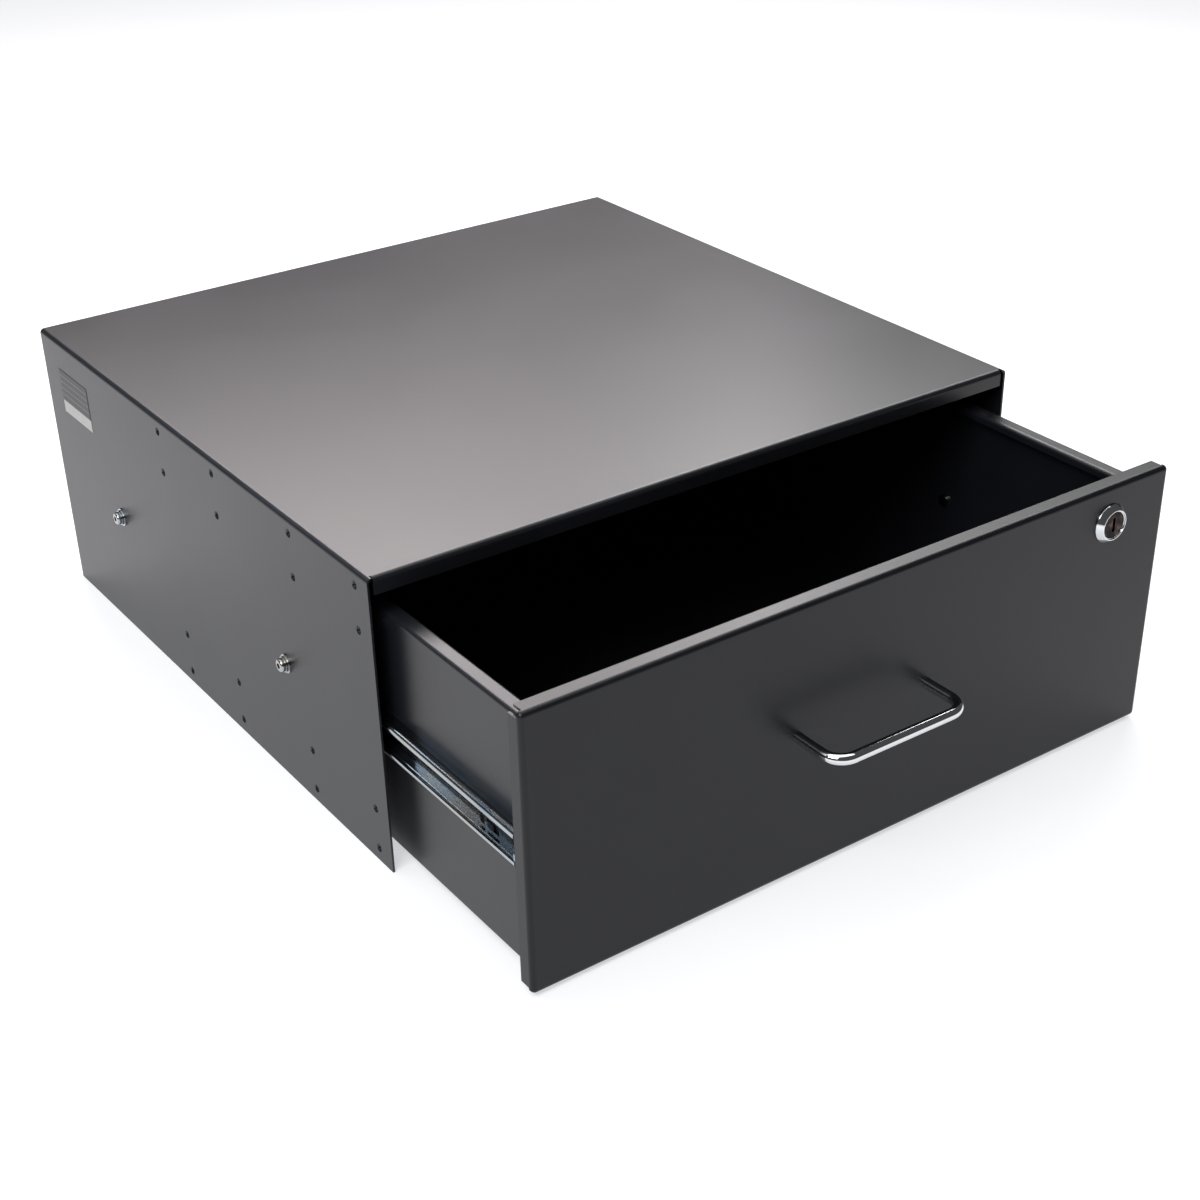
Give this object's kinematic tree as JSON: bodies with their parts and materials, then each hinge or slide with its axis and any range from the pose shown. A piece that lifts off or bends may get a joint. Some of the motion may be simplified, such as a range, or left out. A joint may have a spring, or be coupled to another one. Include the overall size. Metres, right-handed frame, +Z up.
{
  "type": "sliding rack drawer",
  "caption": "Lockable steel drawer in an open-bottomed cabinet for a rack, running on ball slides, with a wire pull and a cam lock.",
  "frame": {"origin": "middle of the bounding box in x and y as the drawer stands pulled out, at the level of the cabinet's lower edge", "axes": "+Z up, the drawer pulls out towards -Y, +X to the right as one faces the front"},
  "size_m": [0.4482, 0.5812, 0.177],
  "materials": {
    "black_powder_coat": "satin",
    "zinc_plate": "satin",
    "chrome_plate": "polished",
    "ball_steel": "polished",
    "wafer_brass": "satin",
    "bumper_rubber": "matte",
    "label_film": "matte"
  },
  "bodies": {
    "cabinet": {"cabinet_shell": "black_powder_coat", "cabinet_back": "black_powder_coat", "lock_strike": "black_powder_coat", "left_rack_nuts": "zinc_plate", "right_rack_nuts": "zinc_plate", "left_side_screws": "zinc_plate", "right_side_screws": "zinc_plate", "left_lock_washers": "zinc_plate", "right_lock_washers": "zinc_plate", "left_flat_washers": "zinc_plate", "right_flat_washers": "zinc_plate", "left_cabinet_rail": "zinc_plate", "right_cabinet_rail": "zinc_plate", "side_label": "label_film", "left_bumper": "bumper_rubber", "right_bumper": "bumper_rubber"},
    "drawer": {"drawer_tray": "black_powder_coat", "drawer_back": "black_powder_coat", "front_panel": "black_powder_coat", "left_drawer_channel": "zinc_plate", "right_drawer_channel": "zinc_plate", "left_slide_rivets": "zinc_plate", "right_slide_rivets": "zinc_plate", "handle_screws": "zinc_plate", "lock_nut": "zinc_plate", "handle": "chrome_plate", "lock_body": "chrome_plate"},
    "left_cage": {"left_ball_cage": "zinc_plate", "left_balls": "ball_steel"},
    "right_cage": {"right_ball_cage": "zinc_plate", "right_balls": "ball_steel"},
    "lock_core": {"lock_plug": "chrome_plate", "lock_cam": "zinc_plate", "cam_screw": "zinc_plate", "lock_wafers": "wafer_brass"}
  },
  "joints": [
    {"name": "drawer_slide", "type": "slide", "parent": "cabinet", "child": "drawer", "axis": [0, -1, 0], "range_m": [-0.13, 0.16]},
    {"name": "left_cage_slide", "type": "slide", "parent": "cabinet", "child": "left_cage", "axis": [0, -1, 0], "range_m": [-0.065, 0.08]},
    {"name": "right_cage_slide", "type": "slide", "parent": "cabinet", "child": "right_cage", "axis": [0, -1, 0], "range_m": [-0.065, 0.08]},
    {"name": "lock_turn", "type": "hinge", "parent": "drawer", "child": "lock_core", "pos_m": [0.1695, -0.25743, 0.1419], "axis": [0, 1, 0], "range_deg": [0, 90]}
  ],
  "couplings": [
    {"joint": "left_cage_slide", "follows": "drawer_slide", "ratio": 0.5},
    {"joint": "right_cage_slide", "follows": "drawer_slide", "ratio": 0.5}
  ]
}
